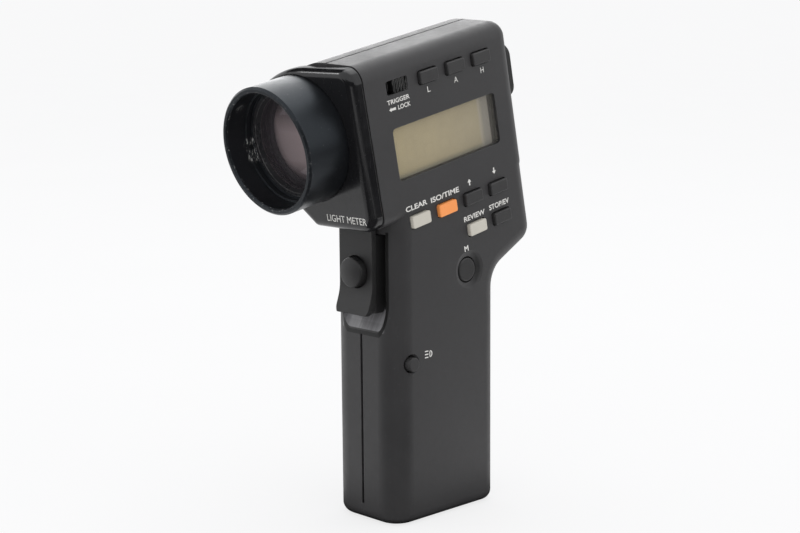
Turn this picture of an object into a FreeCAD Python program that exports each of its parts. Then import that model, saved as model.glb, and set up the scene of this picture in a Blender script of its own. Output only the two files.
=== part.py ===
"""Handheld spot light meter: a wide optical head, tilted nose-down, on a slimmer hand grip.

Part frame, in millimetres: the origin is the centre of the grip's base, +Z is up, -Y is the side that the
lens looks to, and +X is the side with the display. The two shells part on a plane across X.

Head frame: the optical parts are drawn as (x, w, h), where w runs rearwards along the lens axis from the
joint between front cover and shells, and h is the height above the lens axis. place_head() tilts them.
"""
import FreeCAD, Part
import math
import os

V = FreeCAD.Vector

# ---- driving dimensions ----
TILT = 11.3                 # the lens axis points down by this many degrees
HEAD_Y = -30.6              # where the lens axis crosses the front joint
HEAD_Z = 117.2
FACE_X = 14.0               # the display side, flush on head and grip
LENS_X = -10.0              # the lens axis
HEAD_LEFT = -31.8
HEAD_REAR = 62.3
HEAD_TOP = 20.8
HEAD_CROWN = 21.8           # top height near the parting plane
HEAD_SHOULDER = 11.2        # where the sloped left part of the top meets the left side
CHEEK_LOW, CHEEK_X = -11.0, -11.5       # the ends of the slope under the left side
HEAD_BOTTOM = -27.3
PARTING_X = -0.4
WALL = 2.0

GRIP_HALF_Y = 22.2
GRIP_FRONT_RADIUS = 7.5
GRIP_REAR_RADIUS = 5.2
REAR_EDGE_RADIUS = 4.5
BASE_EDGE_RADIUS = 3.2
SLANT_Y, SLANT_Z, SLANT_ANGLE = 28.8, 76.15, 29.0      # the slant under the back of the head

HOOD_RADIUS = 19.0
HOOD_FRONT = -19.7
HOOD_SEAT = -4.4
SPIGOT_RADIUS = 17.8
COVER_FRONT = -4.9
COVER_ROUNDING = 2.4
EYEPIECE_END = 70.8
EYEPIECE_HALF_X = 15.7
EYEPIECE_LOW, EYEPIECE_HIGH = -6.0, 11.4
EYEPIECE_MID = (EYEPIECE_LOW + EYEPIECE_HIGH) / 2

KEY_W, KEY_H = 7.5, 3.7
KEY_PROUD = 1.1
KEY_GAP = 0.3
COLUMNS = (13.85, 25.25, 36.65, 48.0)
TOP_ROW, MIDDLE_ROW, LOW_ROW = 12.3, -28.1, -37.6
KEYS = {
    "key_shadow": (COLUMNS[1], TOP_ROW),
    "key_average": (COLUMNS[2], TOP_ROW),
    "key_highlight": (COLUMNS[3], TOP_ROW),
    "key_memory_clear": (COLUMNS[0], MIDDLE_ROW),
    "key_iso_time": (COLUMNS[1], MIDDLE_ROW),
    "key_up": (COLUMNS[2], MIDDLE_ROW),
    "key_down": (COLUMNS[3], MIDDLE_ROW),
    "key_recall": (COLUMNS[2], LOW_ROW),
    "key_fnumber_ev": (COLUMNS[3], LOW_ROW),
}

WINDOW = (8.4, 52.1, -15.1, 0.5)                # display opening: w low, w high, h low, h high
WINDOW_RECESS = 0.9
SLOT = (8.4, 17.0, 10.3, 14.4)                  # lock slider's slot
SLIDER_LENGTH = 5.7

MEMORY_Y, MEMORY_Z, MEMORY_RADIUS = 8.8, 74.8, 3.65
LAMP_Y, LAMP_Z, LAMP_RADIUS = -15.3, 49.4, 2.15
BUTTON_GAP = 0.4

RECESS_X, RECESS_HALF = 0.4, 9.2                # trigger recess in the front of the grip
RECESS_LOW, RECESS_HIGH, RECESS_FLOOR_Y = 58.8, 88.4, -17.6
RECESS_SLOPE = 1.74                             # rise of the sloping floor for each mm of depth
PLATE_X, PLATE_HALF = 0.2, 7.0
PLATE_FRONT_Y, PLATE_LOW, PLATE_SKIN = -24.7, 64.4, 1.6
MEASURE_Z, MEASURE_RADIUS = 76.8, 4.55
MEASURE_FRONT_Y, MEASURE_TRAVEL = -27.5, 1.6

CELL_Y, CELL_RADIUS, CELL_LENGTH, CELL_LOW = -9.4, 7.1, 50.3, 7.0
CAP_RADIUS, CAP_TOP = 8.6, 3.5
SCREW_SEAT_X = -12.0
BUSH_Y, BUSH_RADIUS, SOCKET_RADIUS, SOCKET_DEPTH = 11.0, 5.5, 3.175, 8.0


# ---- drawing helpers ----
def box(x0, x1, y0, y1, z0, z1):
    return Part.makeBox(x1 - x0, y1 - y0, z1 - z0, V(x0, y0, z0))


def rod(start, along, radius, length):
    return Part.makeCylinder(radius, length, V(*start), V(*along))


def tube(start, along, outer, inner, length):
    return rod(start, along, outer, length).cut(rod(start, along, inner, length))


def outline(corners, place):
    """A closed wire through the corners (a, b, radius), each one rounded by its radius."""
    turns = []
    for i, (a, b, radius) in enumerate(corners):
        here = V(a, b, 0)
        before = corners[i - 1]
        after = corners[(i + 1) % len(corners)]
        back = (V(before[0], before[1], 0) - here).normalize()
        on = (V(after[0], after[1], 0) - here).normalize()
        half = back.getAngle(on) / 2
        reach = radius / math.tan(half)
        middle = here + (back + on).normalize() * (radius / math.sin(half) - radius)
        turns.append((here + back * reach, middle, here + on * reach, radius))
    edges = []
    for i, (start, middle, end, radius) in enumerate(turns):
        if radius > 0:
            edges.append(Part.Arc(place(start), place(middle), place(end)).toShape())
        following = turns[(i + 1) % len(turns)][0]
        if (following - end).Length > 1e-6:
            edges.append(Part.LineSegment(place(end), place(following)).toShape())
    return Part.Wire(edges)


def prism(corners, place, along):
    return Part.Face(outline(corners, place)).extrude(V(*along))


def across(x0, x1, corners):
    """A prism along X from an outline in the plane of the second and third axes."""
    return prism(corners, lambda p: V(x0, p.x, p.y), (x1 - x0, 0, 0))


def lengthways(y0, y1, corners):
    """A prism along the second axis from an outline in (x, third axis)."""
    return prism(corners, lambda p: V(p.x, y0, p.y), (0, y1 - y0, 0))


def upright(z0, z1, corners):
    """A prism along Z from an outline in (x, y)."""
    return prism(corners, lambda p: V(p.x, p.y, z0), (0, 0, z1 - z0))


def rectangle(a0, a1, b0, b1, radius):
    return [(a0, b0, radius), (a1, b0, radius), (a1, b1, radius), (a0, b1, radius)]


def around(a, b, half_a, half_b, radius):
    """A rectangle's corners about its centre."""
    return rectangle(a - half_a, a + half_a, b - half_b, b + half_b, radius)


def turned(profile):
    """A solid of revolution about the lens axis from (radius, w) points."""
    wire = Part.makePolygon([V(LENS_X + r, w, 0) for r, w in profile + [profile[0]]])
    return Part.Face(wire).revolve(V(LENS_X, 0, 0), V(0, 1, 0), 360)


def place_head(shape):
    """Takes a shape from the head frame to the part frame."""
    shape = shape.copy()
    shape.rotate(V(0, 0, 0), V(1, 0, 0), TILT)
    shape.translate(V(0, HEAD_Y, HEAD_Z))
    return shape


def to_part(w, h):
    """The (Y, Z) of a point in the head frame."""
    c, s = math.cos(math.radians(TILT)), math.sin(math.radians(TILT))
    return HEAD_Y + w * c - h * s, HEAD_Z + w * s + h * c


def edges_where(shape, wanted):
    return [e for e in shape.Edges if wanted(e.BoundBox)]


# ---- casing ----
def head_solid(inset):
    """The head's outer form, or with an inset the hollow inside its walls."""
    top = HEAD_TOP - inset
    corners = [
        (FACE_X - inset, top, 5.0 - inset),
        (-6.0, HEAD_CROWN - inset, 19.0 - inset),
        (HEAD_LEFT + inset, HEAD_SHOULDER - inset, 6.0 - inset),
        (HEAD_LEFT + inset, CHEEK_LOW + inset, 5.0 - inset),
        (CHEEK_X, HEAD_BOTTOM + inset, 5.0 - inset),
        (FACE_X - inset, HEAD_BOTTOM + inset, 4.0 - inset),
    ]
    rear = HEAD_REAR - inset
    solid = lengthways(-1.0 if inset else 0.0, rear, corners)
    rim = edges_where(solid, lambda b: b.YMin > rear - 0.01)
    return place_head(solid.makeFillet(REAR_EDGE_RADIUS - inset, rim))


def meet(point, angle, other, other_angle):
    """Where two lines in (Y, Z) cross, each given by a point and an angle in degrees."""
    c, s = math.cos(math.radians(angle)), math.sin(math.radians(angle))
    oc, os_ = math.cos(math.radians(other_angle)), math.sin(math.radians(other_angle))
    t = ((other[0] - point[0]) * os_ - (other[1] - point[1]) * oc) / (c * os_ - s * oc)
    return point[0] + t * c, point[1] + t * s


def grip_solid(inset):
    """Grip and neck as one form that runs up into the head."""
    front, rear = -GRIP_HALF_Y + inset, GRIP_HALF_Y - inset
    slant = (SLANT_Y - inset * math.sin(math.radians(SLANT_ANGLE)),
             SLANT_Z + inset * math.cos(math.radians(SLANT_ANGLE)))
    knee = meet((rear, 0), 90, slant, SLANT_ANGLE)
    heel = meet(slant, SLANT_ANGLE, to_part(HEAD_REAR - inset, 0), 90 + TILT)
    inside_rear = to_part(HEAD_REAR - inset, -12.0)
    corners = [
        (front, inset, 0),
        (rear, inset, 0),
        (knee[0], knee[1], 8.0 + inset),
        (heel[0], heel[1], 6.0 - inset),
        (inside_rear[0], inside_rear[1], 0),
        (front, 101.0, 0),
    ]
    low, high = -FACE_X + inset, FACE_X - inset
    solid = across(low, high, corners)

    def on_side(b):
        return b.XLength < 0.01 and (abs(b.XMin - low) < 0.01 or abs(b.XMin - high) < 0.01)

    front_edges = edges_where(solid, lambda b: on_side(b) and b.YMax < front + 0.01)
    solid = solid.makeFillet(GRIP_FRONT_RADIUS - inset, front_edges)
    rear_edges = edges_where(solid, lambda b: on_side(b) and b.YMin > rear - 0.01)
    solid = solid.makeFillet(GRIP_REAR_RADIUS - inset, rear_edges)
    base = edges_where(solid, lambda b: b.ZMax < inset + 0.01)
    return solid.makeFillet(max(BASE_EDGE_RADIUS - inset, 1.0), base)


def recess_solid(grow):
    """The trigger recess: open at the front, with a floor that slopes down to the front at its lower end."""
    left, right = RECESS_X - RECESS_HALF - grow, RECESS_X + RECESS_HALF + grow
    floor = RECESS_FLOOR_Y + grow
    low = RECESS_LOW - grow * math.hypot(1, RECESS_SLOPE)
    profile = [
        (-GRIP_HALF_Y - 6.0, low - 6.0 * RECESS_SLOPE, 0),
        (floor, low + (floor + GRIP_HALF_Y) * RECESS_SLOPE, 0),
        (floor, RECESS_HIGH + grow, 0),
        (-GRIP_HALF_Y - 6.0, RECESS_HIGH + grow, 0),
    ]
    solid = across(left, right, profile)
    sides = edges_where(solid, lambda b: b.XLength < 0.01 and b.ZMin < RECESS_LOW - 3 and b.YLength > 3)
    return solid.makeFillet(3.5 + grow, sides)


def screw_places():
    """(y, z) of the case screws, behind the battery and in the neck."""
    return [(16.0, 14.0), (16.0, 58.0), to_part(57.0, -40.0)]


def casing():
    """The two shells, each with its bosses and its half of the openings."""
    outer = head_solid(0).fuse(grip_solid(0)).removeSplitter()
    inner = head_solid(WALL).fuse(grip_solid(WALL)).removeSplitter()
    walls = outer.cut(inner)
    pocket = recess_solid(1.2).common(outer)
    walls = walls.fuse(pocket).cut(recess_solid(0))
    walls = walls.cut(rod((PLATE_X, -20.0, MEASURE_Z), (0, 1, 0), 2.4, 10.0))
    for y, z in screw_places():
        walls = walls.fuse(rod((-FACE_X, y, z), (1, 0, 0), 2.8, 2 * FACE_X).common(outer))
    for opening in side_openings() + base_openings() + [eyepiece_opening()]:
        walls = walls.cut(opening)
    groove_front = box(PARTING_X - 0.45, PARTING_X + 0.45, -GRIP_HALF_Y - 1, -GRIP_HALF_Y + 0.9, 5.2, 57.6)
    groove_top = place_head(box(PARTING_X - 0.3, PARTING_X + 0.3, -1, HEAD_REAR - 3, HEAD_TOP + 0.4, 30))
    walls = walls.cut(groove_front).cut(groove_top)
    right = walls.common(box(PARTING_X, 60, -80, 80, -10, 170))
    left = walls.common(box(-60, PARTING_X, -80, 80, -10, 170))
    for y, z in screw_places():
        left = left.cut(rod((-40.0, y, z), (1, 0, 0), 1.15, 60.0))
        left = left.cut(rod((-40.0, y, z), (1, 0, 0), 2.2, SCREW_SEAT_X + 40.0))
        right = right.cut(rod((PARTING_X, y, z), (1, 0, 0), 1.0, 8.0))
    save("right_shell", right)
    save("left_shell", left)


def side_openings():
    """Openings through the display side."""
    cuts = []
    for w, h in KEYS.values():
        half_w, half_h = KEY_W / 2 + KEY_GAP, KEY_H / 2 + KEY_GAP
        cuts.append(place_head(across(8, 20, around(w, h, half_w, half_h, 0.8))))
    w0, w1, h0, h1 = WINDOW
    cuts.append(place_head(across(8, 20, rectangle(w0, w1, h0, h1, 1.2))))
    w0, w1, h0, h1 = SLOT
    cuts.append(place_head(across(8, 20, rectangle(w0, w1, h0, h1, 0.6))))
    cuts.append(rod((8, MEMORY_Y, MEMORY_Z), (1, 0, 0), MEMORY_RADIUS + BUTTON_GAP, 10))
    cuts.append(Part.makeSphere(18.0, V(FACE_X + 17.0, MEMORY_Y + 0.9, MEMORY_Z)))
    cuts.append(rod((8, LAMP_Y, LAMP_Z), (1, 0, 0), LAMP_RADIUS + 0.5, 10))
    cuts.append(rod((8, LAMP_Y, LAMP_Z), (1, 0, 0), LAMP_RADIUS + 1.5, FACE_X - WALL - 8))
    rim = V(FACE_X - 0.5, LAMP_Y, LAMP_Z)
    cuts.append(Part.makeCone(LAMP_RADIUS + 0.5, LAMP_RADIUS + 1.0, 0.5, rim, V(1, 0, 0)))
    return cuts


def base_openings():
    """The inset for the base plate, and the way in for the battery."""
    inset = upright(-1, 1.6, rectangle(-10.4, 10.4, -18.6, 18.6, 4.0))
    cell = rod((0, CELL_Y, -1), (0, 0, 1), CAP_RADIUS + 0.1, 6.0)
    bush = rod((0, BUSH_Y, -1), (0, 0, 1), BUSH_RADIUS, 6.0)
    return [inset, cell, bush]


def eyepiece_opening():
    return place_head(rod((LENS_X, HEAD_REAR - 6, EYEPIECE_MID), (0, 1, 0), 8.4, 12))


def base_parts():
    plate = upright(0, 1.6, rectangle(-10.3, 10.3, -18.5, 18.5, 3.9))
    plate = plate.cut(rod((0, CELL_Y, -1), (0, 0, 1), CAP_RADIUS + 0.1, 6))
    plate = plate.cut(rod((0, BUSH_Y, -1), (0, 0, 1), BUSH_RADIUS, 6))
    save("base_plate", plate)
    bush = tube((0, BUSH_Y, 0.0), (0, 0, 1), BUSH_RADIUS, SOCKET_RADIUS, SOCKET_DEPTH)
    bush = bush.fuse(rod((0, BUSH_Y, SOCKET_DEPTH), (0, 0, 1), BUSH_RADIUS, 1.5))
    bush = bush.fuse(tube((0, BUSH_Y, 2.0), (0, 0, 1), 7.5, 3.5, 1.5)).removeSplitter()
    save("tripod_bush", bush)
    cap = rod((0, CELL_Y, 0.05), (0, 0, 1), CAP_RADIUS, 2.3)
    cap = cap.fuse(rod((0, CELL_Y, 2.3), (0, 0, 1), 7.6, CAP_TOP - 2.3))
    coin_slot = box(-6.5, 6.5, CELL_Y - 0.8, CELL_Y + 0.8, -1, 1.1)
    save("battery_cap", cap.cut(coin_slot).removeSplitter())


def coil_spring(radius, wire_radius, turns, length):
    """A coil spring that stands on the origin along +Z, swept in half turns."""
    pitch = (length - 2 * wire_radius) / turns
    spans = []
    for i in range(2 * turns):
        span = Part.makeHelix(pitch, pitch / 2, radius)
        span.rotate(V(0, 0, 0), V(0, 0, 1), 180 * i)
        span.translate(V(0, 0, wire_radius + pitch / 2 * i))
        spans += span.Edges
    section = Part.Wire(Part.makeCircle(wire_radius, V(radius, 0, wire_radius), V(0, 1, 0)))
    return Part.Wire(spans).makePipeShell([section], True, True)


def battery_parts():
    axis = (0, 0, 1)
    cell = rod((0, CELL_Y, CELL_LOW), axis, CELL_RADIUS, CELL_LENGTH - 1.3)
    cell = cell.fuse(rod((0, CELL_Y, CELL_LOW + CELL_LENGTH - 1.3), axis, 2.7, 1.3))
    save("battery_cell", cell)
    top = CELL_LOW + CELL_LENGTH
    tray = tube((0, CELL_Y, CELL_LOW - 1.5), axis, 8.0, 7.3, CELL_LENGTH + 1.9)
    tray = tray.cut(box(-12, 0, CELL_Y - 5, CELL_Y + 5, CELL_LOW + 6, top - 6))
    lid = rod((0, CELL_Y, top + 0.4), axis, 8.0, 1.2)
    save("battery_tray", tray.fuse(lid).removeSplitter())
    save("battery_contact", upright(top, top + 0.4, rectangle(-3.5, 3.5, CELL_Y - 3, CELL_Y + 3, 1.0)))
    coil = coil_spring(4.6, 0.35, 3, CELL_LOW - CAP_TOP - 0.2)
    coil.translate(V(0, CELL_Y, CAP_TOP + 0.15))
    save("battery_spring", coil)


def case_screws():
    screws = []
    for y, z in screw_places():
        seat = SCREW_SEAT_X
        head = rod((seat - 1.4, y, z), (1, 0, 0), 2.0, 1.4)
        shank = rod((seat, y, z), (1, 0, 0), 0.95, PARTING_X + 6.5 - seat)
        cross = box(seat - 2, seat - 0.7, y - 0.3, y + 0.3, z - 1.3, z + 1.3)
        cross = cross.fuse(box(seat - 2, seat - 0.7, y - 1.3, y + 1.3, z - 0.3, z + 0.3))
        screws.append(head.fuse(shank).cut(cross).removeSplitter())
    save("case_screws", Part.makeCompound(screws))


# ---- lens end ----
def cover_form(w0, w1, inset):
    """The front cover's outline, its top left swept round the lens, as a slab from w0 to w1."""
    corners = [
        (FACE_X, HEAD_TOP, 4.6),
        (-19.5, HEAD_TOP, 34.0),
        (HEAD_LEFT, 10.0, 3.2),
        (HEAD_LEFT, CHEEK_LOW, 5.0),
        (CHEEK_X, HEAD_BOTTOM, 2.6),
        (FACE_X, HEAD_BOTTOM, 4.6),
    ]
    face = Part.Face(outline(corners, lambda p: V(p.x, w0, p.y)))
    if inset:
        face = face.makeOffset2D(-inset)
    return face.extrude(V(0, w1 - w0, 0))


def front_cover():
    """Glossy cover with a well rounded edge, a seat for the hood and a narrow joint to the shells."""
    cover = cover_form(COVER_FRONT, -0.5, 0)
    front = edges_where(cover, lambda b: b.YMax < COVER_FRONT + 0.01)
    cover = cover.makeFillet(COVER_ROUNDING, front)
    cover = cover.fuse(cover_form(-0.5, 0, 0.8))
    cover = cover.cut(rod((LENS_X, -9, 0), (0, 1, 0), SPIGOT_RADIUS, 12))
    cover = cover.cut(rod((LENS_X, -9, 0), (0, 1, 0), HOOD_RADIUS + 0.2, 9 + HOOD_SEAT))
    save("front_cover", place_head(cover.removeSplitter()))


def lens_parts():
    front = HOOD_FRONT
    outside = [(17.5, front), (18.4, front), (HOOD_RADIUS, front + 0.6), (HOOD_RADIUS, HOOD_SEAT)]
    spigot = [(SPIGOT_RADIUS, HOOD_SEAT), (SPIGOT_RADIUS, 0.0), (16.4, 0.0), (16.4, 4.0)]
    inside = [(16.0, 4.0), (16.0, -10.4), (16.6, -10.4), (16.6, -12.4), (17.1, -12.4), (17.1, front + 0.6)]
    hood = turned(outside + spigot + inside)
    save("lens_hood", place_head(hood))
    ring = turned([(14.3, -8.6), (15.0, -10.2), (16.0, -10.2), (16.0, -8.6)])
    save("lens_retaining_ring", place_head(ring))
    glass = rod((LENS_X, -10, 0), (0, 1, 0), 15.9, 6.6)
    glass = glass.common(Part.makeSphere(62.0, V(LENS_X, -10.6 + 62.0, 0)))
    shoulder = tube((LENS_X, -10.7, 0), (0, 1, 0), 20, 14.2, 2.1)
    glass = glass.cut(shoulder)
    save("front_lens", place_head(glass))
    rear = rod((LENS_X, -3.2, 0), (0, 1, 0), 15.9, 3.6)
    save("rear_lens", place_head(rear.cut(Part.makeSphere(45.0, V(LENS_X, -0.6 + 45.0, 0)))))
    outside = [(14.6, 0.5), (15.9, 0.5), (15.9, 4.2), (16.4, 4.2), (16.4, 22)]
    inside = [(12, 22), (12, 20.8), (15.4, 20.8), (15.4, 6), (14.6, 6)]
    save("lens_tube", place_head(turned(outside + inside)))
    baffle = turned([(9.5, 13.0), (15.3, 13.0), (15.3, 14.0), (9.5, 14.0)])
    save("light_baffle", place_head(baffle))


def optics():
    """Behind the lens: beam splitter, photocell, finder display and the chassis that holds them."""
    x = LENS_X
    save("beam_splitter", place_head(box(x - 7, x + 7, 28, 42, -7, 7)))
    cell = rod((x, 35, -13.5), (0, 0, 1), 4.2, 4.5).fuse(rod((x, 35, -9), (0, 0, 1), 3.2, 2.0))
    save("photocell", place_head(cell.removeSplitter()))
    save("finder_display", place_head(box(x - 7, x + 7, 44, 46, -6, 6)))
    chassis = box(x - 11.5, x + 9, 23, 52, -16, -13.5)
    chassis = chassis.fuse(box(x - 11.5, x - 8, 27, 43, -13.5, 6))
    plate = box(x - 11.5, x + 9, 22.2, 24.2, -16, 10).cut(rod((x, 20, 0), (0, 1, 0), 8, 10))
    rear = box(x - 11.5, x + 9, 46, 48, -16, 9).cut(box(x - 5, x + 5, 45, 49, -4, 4))
    save("optical_chassis", place_head(chassis.fuse(plate).fuse(rear).removeSplitter()))
    save("finder_lamp", place_head(rod((x - 7.4, 50, -11), (0, 0, 1), 1.5, 6)))


def eyepiece_parts():
    x, low, high, half = LENS_X, EYEPIECE_LOW, EYEPIECE_HIGH, EYEPIECE_HALF_X
    block = lengthways(HEAD_REAR, HEAD_REAR + 2.6, rectangle(x - half, x + half, low, high, 4.0))
    block = block.fuse(rod((x, HEAD_REAR - 9, EYEPIECE_MID), (0, 1, 0), 8.3, 9.5))
    bore = rod((x, HEAD_REAR - 10, EYEPIECE_MID), (0, 1, 0), 6.6, 12.0)
    bore = bore.fuse(rod((x, HEAD_REAR, EYEPIECE_MID), (0, 1, 0), 7.9, 10))
    save("eyepiece_housing", place_head(block.cut(bore).removeSplitter()))
    cup = lengthways(HEAD_REAR + 2.6, EYEPIECE_END, rectangle(x - half, x + half, low, high, 4.0))
    rim = edges_where(cup, lambda b: b.YMin > EYEPIECE_END - 0.01)
    cup = cup.makeFillet(0.8, rim)
    cup = cup.cut(rod((x, HEAD_REAR, EYEPIECE_MID), (0, 1, 0), 7.9, 20))
    save("eyecup", place_head(cup))
    front, back = HEAD_REAR + 0.1, HEAD_REAR + 5.4
    ring = turned([(5.2, front), (7.6, front), (7.6, back), (5.2, back)])
    notch = rod((x + 7.6, HEAD_REAR + 3.2, 0), (0, 1, 0), 0.45, 6)
    for i in range(20):
        cut = notch.copy()
        cut.rotate(V(x, 0, 0), V(0, 1, 0), i * 18)
        ring = ring.cut(cut)
    ring.translate(V(0, 0, EYEPIECE_MID))
    save("dioptre_ring", place_head(ring))
    lens = rod((x, HEAD_REAR + 0.4, EYEPIECE_MID), (0, 1, 0), 5.1, 3.2)
    crown = Part.makeSphere(20.0, V(x, HEAD_REAR + 3.6 - 20.0, EYEPIECE_MID))
    save("eyepiece_lens", place_head(lens.common(crown)))


# ---- display and keys ----
def display_parts():
    w0, w1, h0, h1 = WINDOW
    w, h = (w0 + w1) / 2, (h0 + h1) / 2
    half_w, half_h = (w1 - w0) / 2, (h1 - h0) / 2
    window = across(FACE_X - WALL, FACE_X - WINDOW_RECESS, around(w, h, half_w - 0.05, half_h - 0.05, 1.1))
    save("display_window", place_head(window))
    panel = across(10.0, 11.8, around(w, h, half_w + 1.5, half_h + 1.5, 0.3))
    save("display_panel", place_head(panel))
    holder = across(9.3, 12.0, around(w, h, half_w + 2.7, half_h + 2.7, 0.8))
    holder = holder.cut(across(9.9, 13, around(w, h, half_w + 1.55, half_h + 1.55, 0.3)))
    save("display_holder", place_head(holder))


def keys():
    for name, (w, h) in KEYS.items():
        cap = across(11.2, FACE_X + KEY_PROUD, around(w, h, KEY_W / 2, KEY_H / 2, 0.6))
        rim = edges_where(cap, lambda b: b.XMin > FACE_X + KEY_PROUD - 0.01)
        cap = cap.makeFillet(0.35, rim)
        flange = across(10.9, 11.7, around(w, h, KEY_W / 2 + 0.8, KEY_H / 2 + 0.8, 0.5))
        save(name, place_head(cap.fuse(flange).removeSplitter()))


def lock_slider():
    w0, w1, h0, h1 = SLOT
    back, front = w1 - 0.15, w1 - 0.15 - SLIDER_LENGTH
    knob = across(11.5, FACE_X - 0.1, rectangle(front, back, h0 + 0.2, h1 - 0.2, 0.4))
    for i in range(4):
        at = front + 0.9 + i * 1.3
        knob = knob.cut(box(FACE_X - 0.7, FACE_X + 1, at, at + 0.5, h0, h1))
    flange = across(10.8, 11.6, rectangle(front - 1.5, back + 1.6, h0 - 0.9, h1 + 0.9, 0.5))
    save("lock_slider", place_head(knob.fuse(flange).removeSplitter()))


def side_buttons():
    memory = rod((11.2, MEMORY_Y, MEMORY_Z), (1, 0, 0), MEMORY_RADIUS, FACE_X - 0.2 - 11.2)
    memory = memory.makeFillet(0.5, edges_where(memory, lambda b: b.XMin > FACE_X - 0.3))
    flange = rod((11.0, MEMORY_Y, MEMORY_Z), (1, 0, 0), MEMORY_RADIUS + 0.9, 0.7)
    save("memory_button", memory.fuse(flange))
    lamp = rod((11.2, LAMP_Y, LAMP_Z), (1, 0, 0), LAMP_RADIUS, FACE_X + 1.2 - 11.2)
    lamp = lamp.makeFillet(0.4, edges_where(lamp, lambda b: b.XMin > FACE_X + 1.1))
    flange = rod((11.0, LAMP_Y, LAMP_Z), (1, 0, 0), LAMP_RADIUS + 1.2, 0.7)
    save("lamp_button", lamp.fuse(flange))


# ---- trigger ----
def trigger_parts():
    left, right = PLATE_X - PLATE_HALF, PLATE_X + PLATE_HALF
    back, step = RECESS_FLOOR_Y, PLATE_FRONT_Y + PLATE_SKIN
    profile = [
        (PLATE_FRONT_Y, 90.0, 0),
        (PLATE_FRONT_Y, PLATE_LOW + 6.5, 14.0),
        (PLATE_FRONT_Y - 2.2, PLATE_LOW, 0),
        (PLATE_FRONT_Y - 0.6, PLATE_LOW - 0.2, 0.4),
        (step, PLATE_LOW + 1.4, 0),
        (step, 90.0, 0),
    ]
    bottom = PLATE_LOW - 1.2
    rounded = [(left, bottom, 3.4), (right, bottom, 3.4), (right, 92, 0), (left, 92, 0)]
    skin = across(left, right, profile).common(lengthways(-40, step, rounded))
    low, high = PLATE_LOW + 0.4, RECESS_HIGH - 0.3
    behind = [(step, low, 0), (-20.0, low, 0), (back, low + 2.8, 0), (back, high, 0), (step, high, 0)]
    core = across(left + 0.5, right - 0.5, behind)
    hollow = lengthways(step, back + 1, around(PLATE_X, MEASURE_Z, 5.4, 6.0, 0))
    plate = skin.fuse(core.cut(hollow)).removeSplitter()
    save("trigger_plate", plate.cut(rod((PLATE_X, -40, MEASURE_Z), (0, 1, 0), MEASURE_RADIUS + 0.35, 20)))
    y = MEASURE_FRONT_Y
    button = rod((PLATE_X, y, MEASURE_Z), (0, 1, 0), MEASURE_RADIUS, 4.6)
    button = button.common(Part.makeSphere(17.0, V(PLATE_X, y + 17.0, MEASURE_Z)))
    button = button.makeFillet(0.6, edges_where(button, lambda b: b.YMax < y + 1.2 and b.YLength < 0.01))
    flange = rod((PLATE_X, y + 4.6, MEASURE_Z), (0, 1, 0), MEASURE_RADIUS + 0.6, 0.9)
    stem = rod((PLATE_X, y + 5.0, MEASURE_Z), (0, 1, 0), 2.0, 8.3)
    save("measure_button", button.fuse(flange).fuse(stem).removeSplitter())
    coil = coil_spring(3.0, 0.35, 3, RECESS_FLOOR_Y - (y + 5.5) - 0.1)
    coil.rotate(V(0, 0, 0), V(1, 0, 0), 90)
    coil.translate(V(PLATE_X, RECESS_FLOOR_Y - 0.05, MEASURE_Z))
    save("measure_spring", coil)


# ---- boards and switches ----
def electronics():
    board = across(7.8, 9.2, rectangle(9.5, 53.6, -42, 17, 1.5))
    board = board.cut(across(7, 10, rectangle(14, 26, -20, -17, 1.0)))
    chips = [across(5.6, 7.8, rectangle(w, w + 9, h, h + 9, 0.3)) for w, h in ((14, -33), (30, -36), (40, 2))]
    save("main_board", place_head(board.fuse(chips[0]).fuse(chips[1]).fuse(chips[2]).removeSplitter()))
    upper = across(9.2, 10.0, rectangle(19, 54, 9, 16, 1.0))
    lower = across(9.2, 10.0, rectangle(9.5, 53.5, -42, -24, 1.0))
    save("keypad_membranes", place_head(Part.makeCompound([upper, lower])))
    board = box(8.2, 9.2, -18.0, 12.8, 42.0, 56.0).fuse(box(8.2, 9.2, -12.5, 12.8, 54.0, 77.8))
    save("grip_board", board.removeSplitter())
    save("memory_switch", box(9.2, 10.1, MEMORY_Y - 3, MEMORY_Y + 3, MEMORY_Z - 3, MEMORY_Z + 3))
    save("lamp_switch", box(9.2, 10.1, LAMP_Y - 3, LAMP_Y + 3, LAMP_Z - 3, LAMP_Z + 3))
    y = MEASURE_FRONT_Y + 13.3 + MEASURE_TRAVEL + 0.2
    save("measure_switch", box(PLATE_X - 3, PLATE_X + 3, y, y + 4.0, MEASURE_Z - 3.5, MEASURE_Z + 3.5))


def save(name, shape):
    shape.exportStep("parts/" + name + ".step")
    print(name, len(shape.Solids), round(shape.Volume, 1), shape.isValid())


os.makedirs("parts", exist_ok=True)
casing()
base_parts()
battery_parts()
case_screws()
front_cover()
lens_parts()
optics()
eyepiece_parts()
display_parts()
keys()
lock_slider()
side_buttons()
trigger_parts()
electronics()
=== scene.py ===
"""The light meter's looks: finishes, legends and optics on the CAD frame, in metres."""

import math

import bpy
from mathutils import Matrix, Vector


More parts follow.
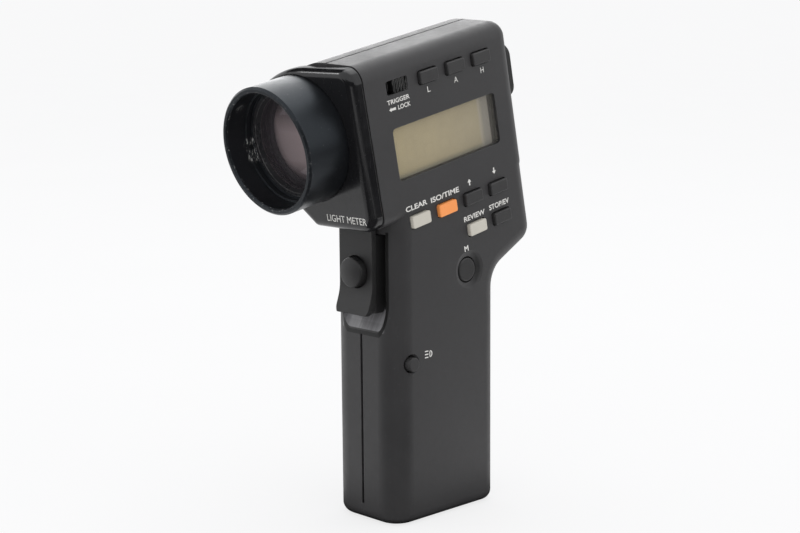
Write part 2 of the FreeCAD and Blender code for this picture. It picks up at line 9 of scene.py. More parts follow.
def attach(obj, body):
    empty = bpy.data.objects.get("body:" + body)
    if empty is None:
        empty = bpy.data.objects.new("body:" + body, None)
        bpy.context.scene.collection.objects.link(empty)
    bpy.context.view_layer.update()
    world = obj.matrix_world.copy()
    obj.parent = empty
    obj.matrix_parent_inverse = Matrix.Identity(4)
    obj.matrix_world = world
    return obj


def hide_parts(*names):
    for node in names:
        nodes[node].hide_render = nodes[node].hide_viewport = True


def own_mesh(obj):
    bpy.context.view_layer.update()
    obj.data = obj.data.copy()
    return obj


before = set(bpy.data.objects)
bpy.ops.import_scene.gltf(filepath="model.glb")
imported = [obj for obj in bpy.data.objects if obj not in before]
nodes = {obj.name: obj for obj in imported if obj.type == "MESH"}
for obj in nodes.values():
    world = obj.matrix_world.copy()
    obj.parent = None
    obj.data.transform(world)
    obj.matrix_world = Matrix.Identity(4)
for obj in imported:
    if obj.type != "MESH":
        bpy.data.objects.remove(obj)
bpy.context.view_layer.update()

MM = 0.001
TILT = math.radians(11.3)       # the lens axis points down by this
COS, SIN = math.cos(TILT), math.sin(TILT)
HEAD_Y, HEAD_Z = -30.6, 117.2   # where the lens axis crosses the front joint, in mm
FACE_X = 14.0                   # the display side, in mm
LENS_X = -10.0                  # the lens axis, in mm


def new_object(name, data):
    made = bpy.data.objects.new(name, data)
    bpy.context.scene.collection.objects.link(made)
    return made


# ---- places, all in mm ----
def head_point(w, h):
    """y and z of a point w behind the front joint along the lens axis and h above that axis."""
    return HEAD_Y + w * COS - h * SIN, HEAD_Z + w * SIN + h * COS


def placed(*rows):
    """The matrix of three rows, each ending in a coordinate in mm."""
    place = Matrix((*rows, (0, 0, 0, 1)))
    place.translation *= MM
    return place


def on_face(w, h):
    """Takes a piece drawn flat on the head's display side, text right along w, to its place."""
    y, z = head_point(w, h)
    return placed((0, 0, 1, FACE_X), (COS, -SIN, 0, y), (SIN, COS, 0, z))


def on_grip(y, z):
    """Takes a piece drawn flat on the grip's display side, text right along y, to its place."""
    return placed((0, 0, 1, FACE_X), (1, 0, 0, y), (0, 1, 0, z))


def on_cover(x, h, w):
    """Takes a piece drawn flat on the front cover, text right along x, to its place."""
    y, z = head_point(w, h)
    return placed((1, 0, 0, x), (0, -SIN, -COS, y), (0, COS, -SIN, z))


# ---- materials ----
BEVEL_SAMPLES = 4
SOFT_EDGE = 0.28 * MM   # how far every edge looks rounded


class Finish:
    """A material with the object's own coordinates, so its grain stays put on every part."""

    SOCKETS = {"colour": "Base Color", "rough": "Roughness", "metal": "Metallic", "normal": "Normal",
               "specular": "Specular IOR Level", "tint": "Specular Tint", "coat": "Coat Weight",
               "coat_rough": "Coat Roughness", "alpha": "Alpha", "glow": "Emission Color",
               "glow_strength": "Emission Strength"}

    def __init__(self, name):
        self.material = bpy.data.materials.new(name)
        self.material.use_nodes = True
        self.tree = self.material.node_tree
        self.shader = self.tree.nodes["Principled BSDF"]
        self.coords = self.tree.nodes.new("ShaderNodeTexCoord").outputs["Object"]

    def link(self, source, target):
        self.tree.links.new(source, target)

    def put(self, socket, item):
        """Links another node's output to a socket, or gives it a colour or a number."""
        if isinstance(item, bpy.types.NodeSocket):
            self.link(item, socket)
        else:
            socket.default_value = (*item, 1) if isinstance(item, tuple) else item

    def set(self, **sockets):
        for key, item in sockets.items():
            self.put(self.shader.inputs[self.SOCKETS[key]], item)
        return self

    def now(self, key):
        """What is linked to a socket of the shader so far."""
        return self.shader.inputs[self.SOCKETS[key]].links[0].from_socket

    def noise(self, scale, detail=2.0, rough=0.5, stretch=None):
        made = self.tree.nodes.new("ShaderNodeTexNoise")
        made.inputs["Scale"].default_value = scale
        made.inputs["Detail"].default_value = detail
        made.inputs["Roughness"].default_value = rough
        source = self.coords
        if stretch:
            mapping = self.tree.nodes.new("ShaderNodeMapping")
            mapping.inputs["Scale"].default_value = stretch
            self.link(self.coords, mapping.inputs["Vector"])
            source = mapping.outputs["Vector"]
        self.link(source, made.inputs["Vector"])
        return made.outputs["Fac"]

    def span(self, source, low, high, to_low, to_high):
        """The source's range from low to high, moved to another range and cut off there."""
        made = self.tree.nodes.new("ShaderNodeMapRange")
        made.inputs["From Min"].default_value = low
        made.inputs["From Max"].default_value = high
        made.inputs["To Min"].default_value = to_low
        made.inputs["To Max"].default_value = to_high
        self.link(source, made.inputs["Value"])
        return made.outputs["Result"]

    def spread(self, noise, low, high):
        """Noise, most of which lies between 0.3 and 0.7, spread from low to high."""
        return self.span(noise, 0.3, 0.7, low, high)

    def band(self, source, low, high, soft):
        """1 between low and high, falling to 0 over soft on either side."""
        rise = self.span(source, low - soft, low, 0.0, 1.0)
        return self.times(rise, self.span(source, high, high + soft, 1.0, 0.0))

    def maths(self, operation, a, b=0.0):
        made = self.tree.nodes.new("ShaderNodeMath")
        made.operation = operation
        self.put(made.inputs[0], a)
        self.put(made.inputs[1], b)
        return made.outputs[0]

    def times(self, product, *factors):
        for factor in factors:
            product = self.maths("MULTIPLY", product, factor)
        return product

    def length(self, *offsets):
        """How long the vector with these parts is."""
        total = 0.0
        for offset in offsets:
            total = self.maths("ADD", self.times(offset, offset), total)
        return self.maths("SQRT", total)

    def mix(self, factor, a, b):
        made = self.tree.nodes.new("ShaderNodeMix")
        made.data_type = "RGBA"
        self.link(factor, made.inputs[0])
        self.put(made.inputs[6], a)
        self.put(made.inputs[7], b)
        return made.outputs[2]

    def dot(self, a, b):
        """The dot product of a vector output with another one or with a fixed vector."""
        made = self.tree.nodes.new("ShaderNodeVectorMath")
        made.operation = "DOT_PRODUCT"
        self.link(a, made.inputs[0])
        if isinstance(b, tuple):
            made.inputs[1].default_value = b
        else:
            self.link(b, made.inputs[1])
        return made.outputs["Value"]

    def along(self, direction, origin=(0, 0, 0)):
        """How far, in mm, the point is from the origin (in mm) along a direction."""
        shift = self.tree.nodes.new("ShaderNodeVectorMath")
        shift.operation = "SUBTRACT"
        shift.inputs[1].default_value = tuple(v * MM for v in origin)
        self.link(self.coords, shift.inputs[0])
        return self.dot(shift.outputs[0], tuple(v / MM for v in direction))

    def w(self):
        return self.along((0, COS, SIN), (0, HEAD_Y, HEAD_Z))

    def h(self):
        return self.along((0, -SIN, COS), (0, HEAD_Y, HEAD_Z))

    def x(self):
        return self.along((1, 0, 0))

    def radius(self):
        """Distance from the lens axis in mm."""
        return self.length(self.maths("SUBTRACT", self.x(), LENS_X), self.h())

    def near(self, place, reach):
        """1 at a place (x, w, h) in the head frame, falling to 0 at a reach in mm."""
        offsets = [self.maths("SUBTRACT", *pair) for pair in zip((self.x(), self.w(), self.h()), place)]
        return self.span(self.length(*offsets), 0.0, reach, 1.0, 0.0)

    def bump(self, height, distance, under=None):
        made = self.tree.nodes.new("ShaderNodeBump")
        made.inputs["Distance"].default_value = distance
        made.inputs["Strength"].default_value = 1.0
        self.link(height, made.inputs["Height"])
        if under is not None:
            self.link(under, made.inputs["Normal"])
        return made.outputs["Normal"]

    def soft_edges(self, radius=SOFT_EDGE):
        """The normal with every edge slightly rounded."""
        bevel = self.tree.nodes.new("ShaderNodeBevel")
        bevel.samples = BEVEL_SAMPLES
        bevel.inputs["Radius"].default_value = radius
        return bevel.outputs["Normal"]

    def edges(self, radius):
        """1 on convex and concave edges and 0 on flat ground."""
        geometry = self.tree.nodes.new("ShaderNodeNewGeometry")
        return self.span(self.dot(self.soft_edges(radius), geometry.outputs["Normal"]), 0.93, 0.999, 1.0, 0.0)


GRAIN, SPECKS, SPOTS, RUBS_AND_GLINTS, HANDLING = 5200, 1500, 420, 240, 55   # noise scales, fine to coarse


def moulded(name, dark, light, rough, grain=GRAIN, depth=0.03 * MM, edge_rub_and_glint=0.0, rub_and_glint_colour=(0.2, 0.2, 0.2),
            specular=0.5, edge=0.45 * MM):
    """Moulded plastic: fine spark grain, slow gloss changes from handling, and pale rubbed edges, which on
    some finishes also stand in for light caught on the edges (painted highlight).
    """
    f = Finish(name)
    slow = f.noise(HANDLING, 4.0, 0.6)
    colour = f.mix(f.spread(slow, 0.0, 1.0), dark, light)
    colour = f.mix(f.span(f.noise(SPECKS, 2.0, 0.5), 0.68, 0.8, 0.0, 0.3), colour, rub_and_glint_colour)
    # pale rubbed edges: real wear, and on the cover and the lock slider also painted highlight
    if edge_rub_and_glint:
        rubbed = f.span(f.noise(RUBS_AND_GLINTS, 4.0, 0.7), 0.42, 0.62, 0.0, edge_rub_and_glint)
        colour = f.mix(f.times(f.edges(edge), rubbed), colour, rub_and_glint_colour)
    gloss = f.spread(slow, rough - 0.05, rough + 0.05)
    spots = f.spread(f.noise(SPOTS, 3.0, 0.6), -0.03, 0.03)
    return f.set(colour=colour, rough=f.maths("ADD", gloss, spots), specular=specular,
                 normal=f.bump(f.noise(grain, 3.0, 0.6), depth, f.soft_edges()))


def metal(name, dark, light, rough):
    """Brushed metal."""
    f = Finish(name)
    brushed = f.noise(900, 3.0, 0.6, (1, 1, 0.12))
    return f.set(colour=f.mix(brushed, dark, light), metal=1.0, normal=f.bump(brushed, 0.01 * MM),
                 rough=f.spread(brushed, rough - 0.08, rough + 0.1))


RAMP_FOOT = (0, -22.2, 58.8)     # a point on the ramp below the trigger, in mm
RAMP_NORMAL = (0, -0.867, 0.498)
RECESS_X, RECESS_HALF, RECESS_CORNER = 0.4, 9.2, 3.5   # the trigger's recess: middle, half width, corner
MEMORY_AT = (0, 8.8, 74.8)       # the middle of the memory button's dish, in mm
DISH_EDGE = (3.9, 5.4)           # the shade painted on its rim lies between these radii, in mm


def shell_black():
    """The casing's plastic: smoother on the ramp below the trigger, which is painted far paler as painted
    light, and darker round the trigger's recess; painted shade darkens the rear side of the memory button's
    dish and a band along the foot."""
    f = moulded("shell_black", (0.0305, 0.0296, 0.0308), (0.0350, 0.0340, 0.0353), 0.48, edge_rub_and_glint=0.5,
                rub_and_glint_colour=(0.10, 0.10, 0.105), specular=0.55)
    rough = f.now("rough")
    above = f.along(RAMP_NORMAL, RAMP_FOOT)
    x, y, z = f.x(), f.along((0, 1, 0)), f.along((0, 0, 1))
    # painted light: the ramp below the trigger is painted far paler, with streaks, for the light that falls
    # on it; it is also made smoother
    ramp = f.times(f.band(x, -8.0, 8.0, 1.2), f.band(above, -0.2, 1.6, 0.05),
                   f.band(y, -21.95, -17.7, 0.05), f.band(z, 58.6, 67.2, 0.2))
    streak = f.span(f.noise(700, 3.0, 0.6, (1.0, 0.05, 0.05)), 0.35, 0.7, 0.0, 1.0)
    off_middle = f.maths("ABSOLUTE", f.maths("SUBTRACT", x, RECESS_X))
    beside = f.maths("MAXIMUM", f.maths("ADD", off_middle, RECESS_CORNER - RECESS_HALF), 0.0)
    below = f.maths("MAXIMUM", f.maths("SUBTRACT", RECESS_CORNER, above), 0.0)
    outside = f.maths("SUBTRACT", f.length(beside, below), RECESS_CORNER)
    rim = f.times(f.band(outside, 0.05, 0.80, 0.06), f.span(y, -20.8, -20.6, 1.0, 0.0),
                  f.band(z, 57.5, 89.0, 0.1))
    # painted shade on the rear side of the memory button's dish
    dish_y, dish_z = f.along((0, 1, 0), MEMORY_AT), f.along((0, 0, 1), MEMORY_AT)
    dish = f.times(f.band(f.length(dish_y, dish_z), *DISH_EDGE, 0.7), f.span(dish_y, 1.0, 4.0, 0.0, 0.75),
                   f.span(x, 12.0, 12.5, 0.0, 1.0))
    colour = f.mix(dish, f.now("colour"), (0.005, 0.005, 0.005))
    colour = f.mix(ramp, colour, f.mix(streak, (0.155, 0.153, 0.160), (0.265, 0.262, 0.272)))
    colour = f.mix(f.times(rim, 0.95), colour, (0.002, 0.002, 0.002))
    # painted shade: a dark band along the foot, for the shade where it meets the floor
    colour = f.mix(f.span(z, 0.5, 2.2, 0.88, 0.0), colour, (0.003, 0.003, 0.003))
    return f.set(colour=colour, rough=f.maths("SUBTRACT", rough, f.times(ramp, 0.15)))


SCUFFS = (((-26.9, -11.6, -1.2), 2.6), ((-26.6, -11.0, -4.2), 3.0), ((-22.9, -16.0, 11.2), 1.6))
HOOD_RIM = (-19.8, -18.9)        # the rubbed front rim lies between these w, in mm


def hood_black():
    """Anodised metal: satin, with turning marks, a rubbed rim and a few pale scuffs inside the hood."""
    f = moulded("hood_black", (0.0070, 0.0074, 0.0084), (0.0100, 0.0106, 0.0124), 0.34, depth=0.008 * MM,
                specular=0.42)
    w, radius = f.w(), f.radius()
    scratches = f.span(f.noise(1600, 5.0, 0.75, (0.5, 1.6, 0.35)), 0.55, 0.59, 0.0, 1.0)
    fine = f.span(f.noise(2400, 4.0, 0.75, (0.7, 0.3, 0.45)), 0.59, 0.66, 0.0, 0.75)
    close = 0.0
    for place, reach in SCUFFS:
        close = f.maths("MAXIMUM", f.near(place, reach), close)
    scuffs = f.times(scratches, f.span(close, 0.0, 0.35, 0.0, 1.0), f.span(radius, 17.2, 17.5, 1.0, 0.0))
    rim = f.times(f.band(w, *HOOD_RIM, 0.3), f.span(radius, 17.0, 17.9, 1.0, 0.15), fine)
    edge = f.times(f.edges(0.25 * MM), f.span(f.noise(300, 4.0, 0.7), 0.35, 0.7, 0.05, 0.5))
    colour = f.mix(edge, f.now("colour"), (0.10, 0.10, 0.105))
    colour = f.mix(f.times(f.maths("MAXIMUM", scuffs, rim), 0.8), colour, (0.62, 0.62, 0.60))
    turning = f.tree.nodes.new("ShaderNodeTexNoise")
    turning.noise_dimensions = "1D"
    turning.inputs["Scale"].default_value = 9.0
    f.link(w, turning.inputs["W"])
    return f.set(colour=colour, normal=f.bump(turning.outputs["Fac"], 0.01 * MM, f.soft_edges()),
                 tint=(0.76, 0.88, 1.0))


def cover_black():
    """Glossy plastic with hairline scratches, and pale rubbed edges that also stand in for light caught along
    its edges and its joint (painted highlight).
    """
    f = moulded("cover_black", (0.0085, 0.0085, 0.0095), (0.0105, 0.0105, 0.0115), 0.15, depth=0.003 * MM,
                edge_rub_and_glint=0.3, rub_and_glint_colour=(0.10, 0.10, 0.105), edge=0.3 * MM)
    hair = f.span(f.noise(1800, 2.0, 0.5, (1.0, 1.0, 0.04)), 0.64, 0.68, 0.0, 0.12)
    return f.set(rough=f.maths("ADD", f.now("rough"), hair))


def front_glass():
    """A bloomed lens: nearly clear, with a weak violet reflection, dust and a wipe mark."""
    f = Finish("coated_glass")
    smear = f.noise(140, 5.0, 0.65, (1, 1, 0.35))
    dust = f.span(f.noise(2600, 2.0, 0.5), 0.70, 0.76, 0.0, 0.5)
    return f.set(colour=f.mix(dust, (0.090, 0.080, 0.088), (0.35, 0.33, 0.33)),
                 rough=f.span(smear, 0.4, 0.8, 0.015, 0.07), specular=1.0, tint=(0.95, 0.84, 0.93),
                 alpha=f.maths("ADD", f.span(smear, 0.35, 0.75, 0.31, 0.36), f.times(dust, 0.3)))


def rear_glass():
    """The lens group's coated inner face: brown-pink across its middle, with painted shade darkening its top,
    foot and edge.
    """
    f = Finish("rear_glass")
    slow = f.noise(90, 3.0, 0.5, (0.4, 1, 1.6))
    h = f.h()
    colour = f.mix(f.spread(slow, 0.0, 1.0), (0.54, 0.440, 0.445), (0.62, 0.505, 0.510))
    # painted shade towards the face's foot
    colour = f.mix(f.times(f.span(h, -12.0, -7.0, 1.0, 0.0), 0.75), colour, (0.040, 0.034, 0.040))
    # painted shade towards the face's top and edge
    outer = f.maths("MAXIMUM", f.span(h, 1.5, 8.5, 0.0, 0.85), f.span(f.radius(), 10.5, 13.2, 0.0, 0.5))
    colour = f.mix(outer, colour, (0.050, 0.042, 0.046))
    return f.set(colour=colour, rough=f.spread(slow, 0.18, 0.26), specular=0.4, coat=0.3, coat_rough=0.05)


def window_glass():
    """The display's clear cover, with faint wipe marks."""
    f = Finish("clear_glass")
    smear = f.noise(120, 5.0, 0.65, (1, 1, 0.35))
    return f.set(colour=f.mix(f.span(smear, 0.35, 0.75, 0.0, 1.0), (0.25, 0.24, 0.21), (0.30, 0.29, 0.26)),
                 rough=f.span(smear, 0.4, 0.8, 0.03, 0.10), specular=0.6,
                 alpha=f.span(smear, 0.3, 0.8, 0.13, 0.17))


FIGURES_W, FIGURE_PITCH = (14.0, 40.5), 7.2    # the row of faint figures on the display, in mm
FIGURE_LEVELS = (-12.0, -8.2, -4.4)            # h of their flat strokes, in mm
STROKE, STROKE_SOFT = 0.6, 0.1                 # the strokes' width and the softness of their edges, in mm


def display_glass():
    """The display at rest: khaki, paler towards its front end, with painted shade along its foot, faint
    figures and, near its rear end, a greyer strip and a pale line, painted reflection and painted highlight
    of the window's inner edge, then a black end."""
    f = Finish("display_glass")
    w, h = f.w(), f.h()
    slow = f.noise(45, 3.0, 0.5)
    cell = f.maths("MODULO", f.maths("SUBTRACT", w, FIGURES_W[0]), FIGURE_PITCH)
    upright = [f.band(cell, left, left + STROKE, STROKE_SOFT) for left in (0.3, 4.0)]
    upright = f.times(f.maths("MAXIMUM", *upright), f.band(h, -12.0, -3.8, STROKE_SOFT))
    flat = 0.0
    for level in FIGURE_LEVELS:
        flat = f.maths("MAXIMUM", f.band(h, level, level + STROKE, STROKE_SOFT), flat)
    flat = f.times(flat, f.band(cell, 0.7, 4.2, STROKE_SOFT))
    figures = f.times(f.maths("MAXIMUM", upright, flat), f.band(w, *FIGURES_W, STROKE_SOFT))
    colour = f.mix(f.span(w, 9.0, 50.0, 0.0, 1.0), (0.66, 0.545, 0.315), (0.510, 0.440, 0.300))
    for amount, tone in (
            (f.spread(slow, 0.0, 0.35), (0.33, 0.285, 0.175)),
            (f.times(figures, 0.06), (0.16, 0.15, 0.11)),
            # painted shade along the display's foot
            (f.times(f.span(h, -15.2, -13.6, 1.0, 0.0), 0.8), (0.270, 0.270, 0.225)),
            # painted reflection of the window's inner edge: a greyer strip, with a pale line that is a
            # painted highlight
            (f.times(f.span(w, 46.0, 48.2, 0.0, 1.0), 0.7), (0.300, 0.290, 0.285)),
            (f.times(f.band(w, 46.6, 47.0, 0.7), 0.30), (0.60, 0.57, 0.50)),
            (f.span(w, 50.6, 51.0, 0.0, 0.9), (0.030, 0.028, 0.030))):
        colour = f.mix(amount, colour, tone)
    return f.set(colour=colour, rough=f.spread(slow, 0.32, 0.42), specular=0.3)


FINISHES = {
    "shell_black": shell_black(),
    "cover_black": cover_black(),
    "hood_black": hood_black(),
    "ring_black": moulded("ring_black", (0.022, 0.022, 0.024), (0.028, 0.028, 0.030), 0.28, edge_rub_and_glint=0.8,
                          rub_and_glint_colour=(0.30, 0.29, 0.29), edge=0.3 * MM),
    "coated_glass": front_glass(),
    "clear_glass": window_glass(),
    "display_glass": display_glass(),
    "key_black": moulded("key_black", (0.030, 0.0293, 0.030), (0.034, 0.0333, 0.034), 0.42, edge_rub_and_glint=0.35,
                         rub_and_glint_colour=(0.12, 0.12, 0.12), specular=0.45),
    "key_grey": moulded("key_grey", (0.565, 0.537, 0.470), (0.600, 0.570, 0.500), 0.42,
                        rub_and_glint_colour=(0.46, 0.44, 0.40)),
    "key_orange": moulded("key_orange", (0.97, 0.325, 0.082), (1.0, 0.355, 0.098), 0.42,
                          rub_and_glint_colour=(0.7, 0.22, 0.08)),
    "trigger_black": moulded("trigger_black", (0.014, 0.0138, 0.014), (0.0175, 0.017, 0.0175), 0.42,
                             edge_rub_and_glint=0.4, rub_and_glint_colour=(0.08, 0.08, 0.08)),
    "button_black": moulded("button_black", (0.022, 0.0215, 0.022), (0.027, 0.0265, 0.027), 0.40, edge_rub_and_glint=0.5,
                            rub_and_glint_colour=(0.12, 0.12, 0.12), specular=0.45),
    # the lock slider: near-black, its pale rib edges painted highlight as well as wear
    "slider_black": moulded("slider_black", (0.006, 0.006, 0.006), (0.008, 0.008, 0.008), 0.35, edge_rub_and_glint=1.0,
                            rub_and_glint_colour=(0.40, 0.40, 0.39), specular=0.35, edge=0.16 * MM),
    "rubber_black": moulded("rubber_black", (0.018, 0.018, 0.018), (0.024, 0.024, 0.024), 0.7, grain=3000),
    "inner_black": moulded("inner_black", (0.010, 0.010, 0.011), (0.014, 0.013, 0.015), 0.6),
    "board_green": moulded("board_green", (0.02, 0.10, 0.04), (0.03, 0.12, 0.05), 0.4),
    "switch_body": moulded("switch_body", (0.05, 0.05, 0.05), (0.07, 0.07, 0.07), 0.4),
    "spring_steel": metal("spring_steel", (0.42, 0.42, 0.43), (0.58, 0.58, 0.6), 0.3),
    "plated_brass": metal("plated_brass", (0.55, 0.42, 0.20), (0.70, 0.55, 0.30), 0.28),
    "cell_wrap": moulded("cell_wrap", (0.05, 0.12, 0.22), (0.06, 0.14, 0.25), 0.3),
}
SPECIAL = {"lock_slider": "slider_black", "memory_button": "button_black", "measure_button": "trigger_black"}
for name, part in nodes.items():
    for entry in part.material_slots:
        finish = SPECIAL.get(name, entry.material.name.split(".")[0])
        entry.material = FINISHES[finish].material

# ---- spring under the measure button ----
spring = nodes["measure_spring"]
coil = new_object("measure_coil", spring.data.copy())
coil.matrix_world = spring.matrix_world
coil.data.materials.clear()
coil.data.materials.append(FINISHES["spring_steel"].material)
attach(coil, "casing")
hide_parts("measure_spring")
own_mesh(coil)

# ---- lens group ----
LATHE_SIDES = 96


def lathe(name, profile, material, body):
    """A turned piece about the lens axis from (radius, w) points, its faces smooth."""
    verts, faces = [], []
    for i in range(LATHE_SIDES):
        turn = 2 * math.pi * i / LATHE_SIDES
        for radius, w in profile:
            place = (LENS_X + radius * math.cos(turn), *head_point(w, radius * math.sin(turn)))
            verts.append(tuple(v * MM for v in place))
    count = len(profile)
    for i in range(LATHE_SIDES):
        j = (i + 1) % LATHE_SIDES
        for k in range(count - 1):
            faces.append((i * count + k, j * count + k, j * count + k + 1, i * count + k + 1))
    mesh = bpy.data.meshes.new(name)
    mesh.from_pydata(verts, [], faces)
    mesh.polygons.foreach_set("use_smooth", [True] * len(mesh.polygons))
    mesh.materials.append(material)
    made = new_object(name, mesh)
    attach(made, body)
    return made


LENS_REACH, LENS_FRONT, LENS_BACK = 13.35, -4.95, -3.3   # the face's radius and the w of its middle and rear
LENS_SAG, LENS_STEPS = 0.60, 16                          # how far its edge lies behind its middle, and points
curve = [(0.05 + LENS_REACH * i / LENS_STEPS, LENS_FRONT + LENS_SAG * (i / LENS_STEPS) ** 2)
         for i in range(LENS_STEPS + 1)]
lathe("rear_lens_face", curve + [(13.6, LENS_BACK), (0.05, LENS_BACK)], rear_glass().material, "casing")
mount = [(13.4, -4.4), (13.5, -4.9), (14.6, -5.2), (15.9, -5.2), (15.9, LENS_BACK), (13.7, LENS_BACK)]
lathe("rear_lens_mount", mount, FINISHES["inner_black"].material, "casing")

# ---- legends ----
INK_DEPTH = 0.03   # how far the print stands off the plastic, in mm
ink = moulded("legend_ink", (0.70, 0.69, 0.66), (0.78, 0.77, 0.74), 0.55, rub_and_glint_colour=(0.35, 0.34, 0.33)).material


def on_casing(name, mesh, place):
    """A piece of print from a mesh."""
    mesh.materials.clear()
    mesh.materials.append(ink)
    made = new_object(name, mesh)
    made.matrix_world = place
    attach(made, "casing")
    return made


def solid_mesh(name, outlines, place):
    """Thin raised pieces from flat outlines in mm, on the casing."""
    verts, faces = [], []
    for outline in outlines:
        first, count = len(verts), len(outline)
        for depth in (0, INK_DEPTH):
            verts += [(a * MM, b * MM, depth * MM) for a, b in outline]
        faces.append([first + count + i for i in range(count)])
        for i in range(count):
            j = (i + 1) % count
            faces.append([first + i, first + j, first + count + j, first + count + i])
    mesh = bpy.data.meshes.new(name)
    mesh.from_pydata(verts, [], faces)
    return on_casing(name, mesh, place)


def word(name, text, width, height, place, bold=0.0):
    """A word, its left foot at the place, fitted to a width and a capital height in mm."""
    curve = bpy.data.curves.new(name, "FONT")
    curve.body = text
    curve.size = 1.0
    curve.offset = bold
    curve.resolution_u = 4
    drawn = new_object(name + "_draft", curve)
    bpy.context.view_layer.update()
    mesh = bpy.data.meshes.new_from_object(drawn.evaluated_get(bpy.context.evaluated_depsgraph_get()))
    bpy.data.objects.remove(drawn)
    bpy.data.curves.remove(curve)
    xs = [v.co.x for v in mesh.vertices]
    ys = [v.co.y for v in mesh.vertices]
    left, foot = min(xs), min(ys)
    across, tall = width / (max(xs) - left) * MM, height / (max(ys) - foot) * MM
    for vertex in mesh.vertices:
        vertex.co = ((vertex.co.x - left) * across, (vertex.co.y - foot) * tall, INK_DEPTH * MM)
    mesh.name = name
    return on_casing(name, mesh, place)


WORDS = (   # name, text, width, capital height, place (w, h), boldness
    ("legend_low", "L", 1.25, 1.7, (24.5, 7.45), 0.0),
    ("legend_average", "A", 1.6, 1.7, (35.9, 7.4), 0.0),
    ("legend_high", "H", 1.4, 1.7, (47.6, 7.5), 0.0),
    ("legend_trigger", "TRIGGER", 9.1, 1.35, (7.9, 7.65), 0.02),
    ("legend_lock", "LOCK", 5.1, 1.35, (11.9, 5.5), 0.02),
    ("legend_clear", "CLEAR", 9.0, 1.6, (8.75, -24.6), 0.025),
    ("legend_iso_time", "ISO/TIME", 12.2, 1.65, (19.3, -24.85), 0.025),
    ("legend_review", "REVIEW", 9.3, 1.6, (31.8, -34.7), 0.025),
    ("legend_stop_ev", "STOP/EV", 9.1, 1.65, (43.2, -34.45), 0.025),
    ("legend_memory", "M", 1.75, 1.75, (30.2, -43.6), 0.03),
)
for name, text, width, height, place, bold in WORDS:
    word(name, text, width, height, on_face(*place), bold)

ARROW = [(-0.25, -1.0), (0.25, -1.0), (0.25, 0.0), (0.85, 0.0), (0.0, 1.0), (-0.85, 0.0), (-0.25, 0.0)]
solid_mesh("legend_up", [ARROW], on_face(36.3, -23.3))
solid_mesh("legend_down", [[(-a, -b) for a, b in ARROW]], on_face(47.5, -22.9))
LOCK_ARROW = [(-1.4, 0.0), (-0.5, 0.65), (-0.5, 0.3), (1.3, 0.4), (1.3, -0.4), (-0.5, -0.3), (-0.5, -0.65)]
solid_mesh("legend_lock_arrow", [LOCK_ARROW], on_face(9.7, 6.15))

# a lamp: a half ring closed by a bar, with three rays
arc = [(math.sin(math.radians(a)), math.cos(math.radians(a))) for a in range(0, 181, 15)]
outer, inner = [(1.25 * a, 1.15 * b) for a, b in arc], [(0.75 * a + 0.12, 0.78 * b) for a, b in arc]
strokes = [[outer[i + 1], inner[i + 1], inner[i], outer[i]] for i in range(len(arc) - 1)]
strokes.append([(0, -1.15), (0.3, -1.15), (0.3, 1.15), (0, 1.15)])
rays = [[(-1.9, b - 0.17), (-0.45, b - 0.17), (-0.45, b + 0.17), (-1.9, b + 0.17)]
        for b in (-0.95, 0.0, 0.95)]
solid_mesh("legend_lamp", rays + strokes, on_grip(-7.9, 51.4))
word("legend_front", "LIGHT METER", 16.8, 2.1, on_cover(-5.2, -24.6, -4.9))

# ---- camera ----
CAMERA_AT = Vector((357.79, -355.38, 160.15)) * MM
AZIMUTH, ELEVATION, ROLL = math.radians(45.70), math.radians(9.55), math.radians(-0.46)
LENS, SENSOR, CLIP = 75.29, 36, (0.01, 100)
back = Vector((math.sin(AZIMUTH) * math.cos(ELEVATION), -math.cos(AZIMUTH) * math.cos(ELEVATION),
               math.sin(ELEVATION)))
right = Vector((math.cos(AZIMUTH), math.sin(AZIMUTH), 0))
up = back.cross(right)
side = math.cos(ROLL) * right + math.sin(ROLL) * up
top = -math.sin(ROLL) * right + math.cos(ROLL) * up
camera = new_object("camera", bpy.data.cameras.new("camera"))
camera.matrix_world = Matrix((*zip(side, top, back, CAMERA_AT), (0, 0, 0, 1)))
camera.data.lens, camera.data.sensor_width = LENS, SENSOR
camera.data.clip_start, camera.data.clip_end = CLIP
bpy.context.scene.camera = camera


# ---- floor and light, all in metres ----
def sheet(name, width, depth, place):
    """A flat rectangle that is part of the setting."""
    mesh = bpy.data.meshes.new(name)
    x, y = width / 2, depth / 2
    mesh.from_pydata([(-x, -y, 0), (x, -y, 0), (x, y, 0), (-x, y, 0)], [], [(0, 1, 2, 3)])
    made = new_object(name, mesh)
    made.matrix_world = place
    return made


def softbox(name, at, aim, width, height, power):
    """A rectangular lamp facing a point, unseen itself, its power in watts."""
    lamp = bpy.data.lights.new(name, "AREA")
    lamp.shape, lamp.size, lamp.size_y, lamp.energy = "RECTANGLE", width, height, power
    made = new_object(name, lamp)
    made.location = at
    made.rotation_euler = (Vector(aim) - Vector(at)).to_track_quat("-Z", "Y").to_euler()
    made.visible_camera = False
    return made


def flag(name, width, depth, place):
    """A black card that shows only in reflections, like the dark room behind the camera."""
    card = sheet(name, width, depth, place)
    felt = Finish(name)
    felt.set(colour=felt.mix(felt.noise(200), (0.002, 0.002, 0.002), (0.004, 0.004, 0.004)), rough=0.9,
             specular=0.0)
    card.data.materials.append(felt.material)
    card.visible_camera = card.visible_diffuse = card.visible_shadow = card.visible_transmission = False
    return card


def lights_all_but(name, *unlit):
    """The set of things a lamp lights: all but these."""
    made = bpy.data.collections.new(name)
    for i, item in enumerate(unlit):
        made.objects.link(item)
        made.collection_objects[i].light_linking.link_state = "EXCLUDE"
    return made


def turned(degrees, axis):
    return Matrix.Rotation(math.radians(degrees), 4, axis)


def toward(bearing, away, height):
    """A place at a bearing from the camera's side, this far from the object and this high."""
    return Matrix.Rotation(AZIMUTH, 4, "Z") @ turned(bearing, "Z") @ Matrix.Translation((0, -away, height))


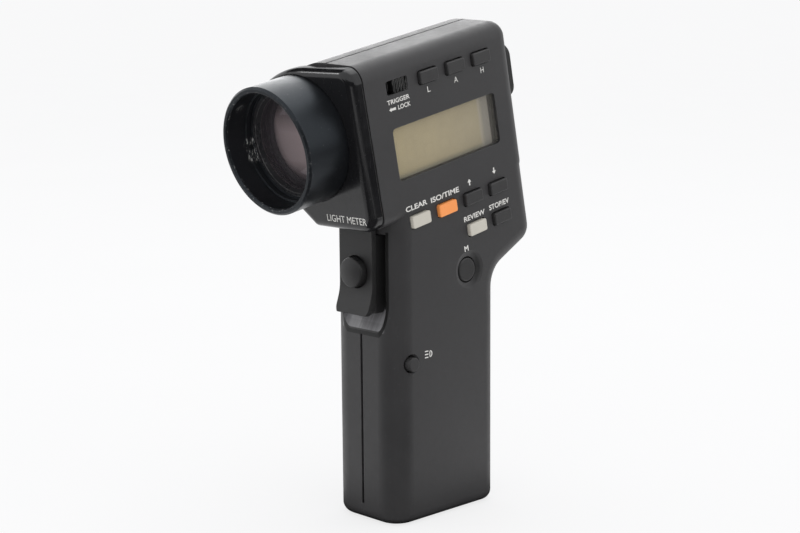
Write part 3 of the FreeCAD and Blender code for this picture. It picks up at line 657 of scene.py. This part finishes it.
FLOOR_SIZE = 60
floor = sheet("floor", FLOOR_SIZE, FLOOR_SIZE, Matrix.Identity(4))
paper = Finish("paper")
paper.set(colour=paper.mix(paper.noise(9, 3.0), (0.195, 0.195, 0.197), (0.205, 0.205, 0.207)), rough=0.9,
          specular=0.0, glow=(0.755, 0.755, 0.757), glow_strength=1.0)
floor.data.materials.append(paper.material)

world = bpy.data.worlds.new("world")
bpy.context.scene.world = world
world.use_nodes = True
world.node_tree.nodes["Background"].inputs["Color"].default_value = (0.93, 0.935, 0.945, 1)
world.node_tree.nodes["Background"].inputs["Strength"].default_value = 1.0
bpy.context.scene.view_settings.view_transform = "Standard"
bpy.context.scene.view_settings.look = "None"

softbox("softbox_top", (-0.1, 0.25, 0.95), (0, 0, 0.08), 0.8, 0.8, 2.0)
back_box = softbox("softbox_back", (-0.86, 0.70, 0.62), (0, 0, 0.11), 1.2, 1.0, 8.5)
back_box.light_linking.receiver_collection = lights_all_but("off_cover", floor, nodes["front_cover"])
left_box = softbox("softbox_left", (-0.77, -0.54, 0.67), (0, 0, 0.11), 0.12, 0.12, 0.45)
left_box.light_linking.receiver_collection = lights_all_but("off_floor", floor)

# a black card under and round the foot, seen only in reflections: painted shade for the contact shadow there
flag("flag_foot", 0.058, 0.074, Matrix.Translation((0, 0, 0.0003)))
flag("flag_low", 0.30, 0.30, toward(0, 0.18, 0.0005))
flag("flag_front", 0.60, 0.30, toward(-58, 0.40, 0.0006))
flag("flag_right", 0.30, 0.20, toward(52, 0.26, 0.0007))
FLAGS = ((-60, 0.14), (-30, 0.24), (0, 0.24), (30, 0.24), (60, 0.12), (88, 0.12))   # bearing, height
for i, (bearing, tall) in enumerate(FLAGS):
    flag(f"flag_{i}", 0.25, tall, toward(bearing, 0.45, tall / 2) @ turned(90, "X"))
over, cover_at = Vector((-0.706, 0.03, 0.70)).normalized(), Vector((0, -0.03, 0.12))
facing = over.to_track_quat("Z", "Y").to_matrix().to_4x4()
flag("flag_over", 0.40, 0.30, Matrix.Translation(over * 0.5 + cover_at) @ facing)
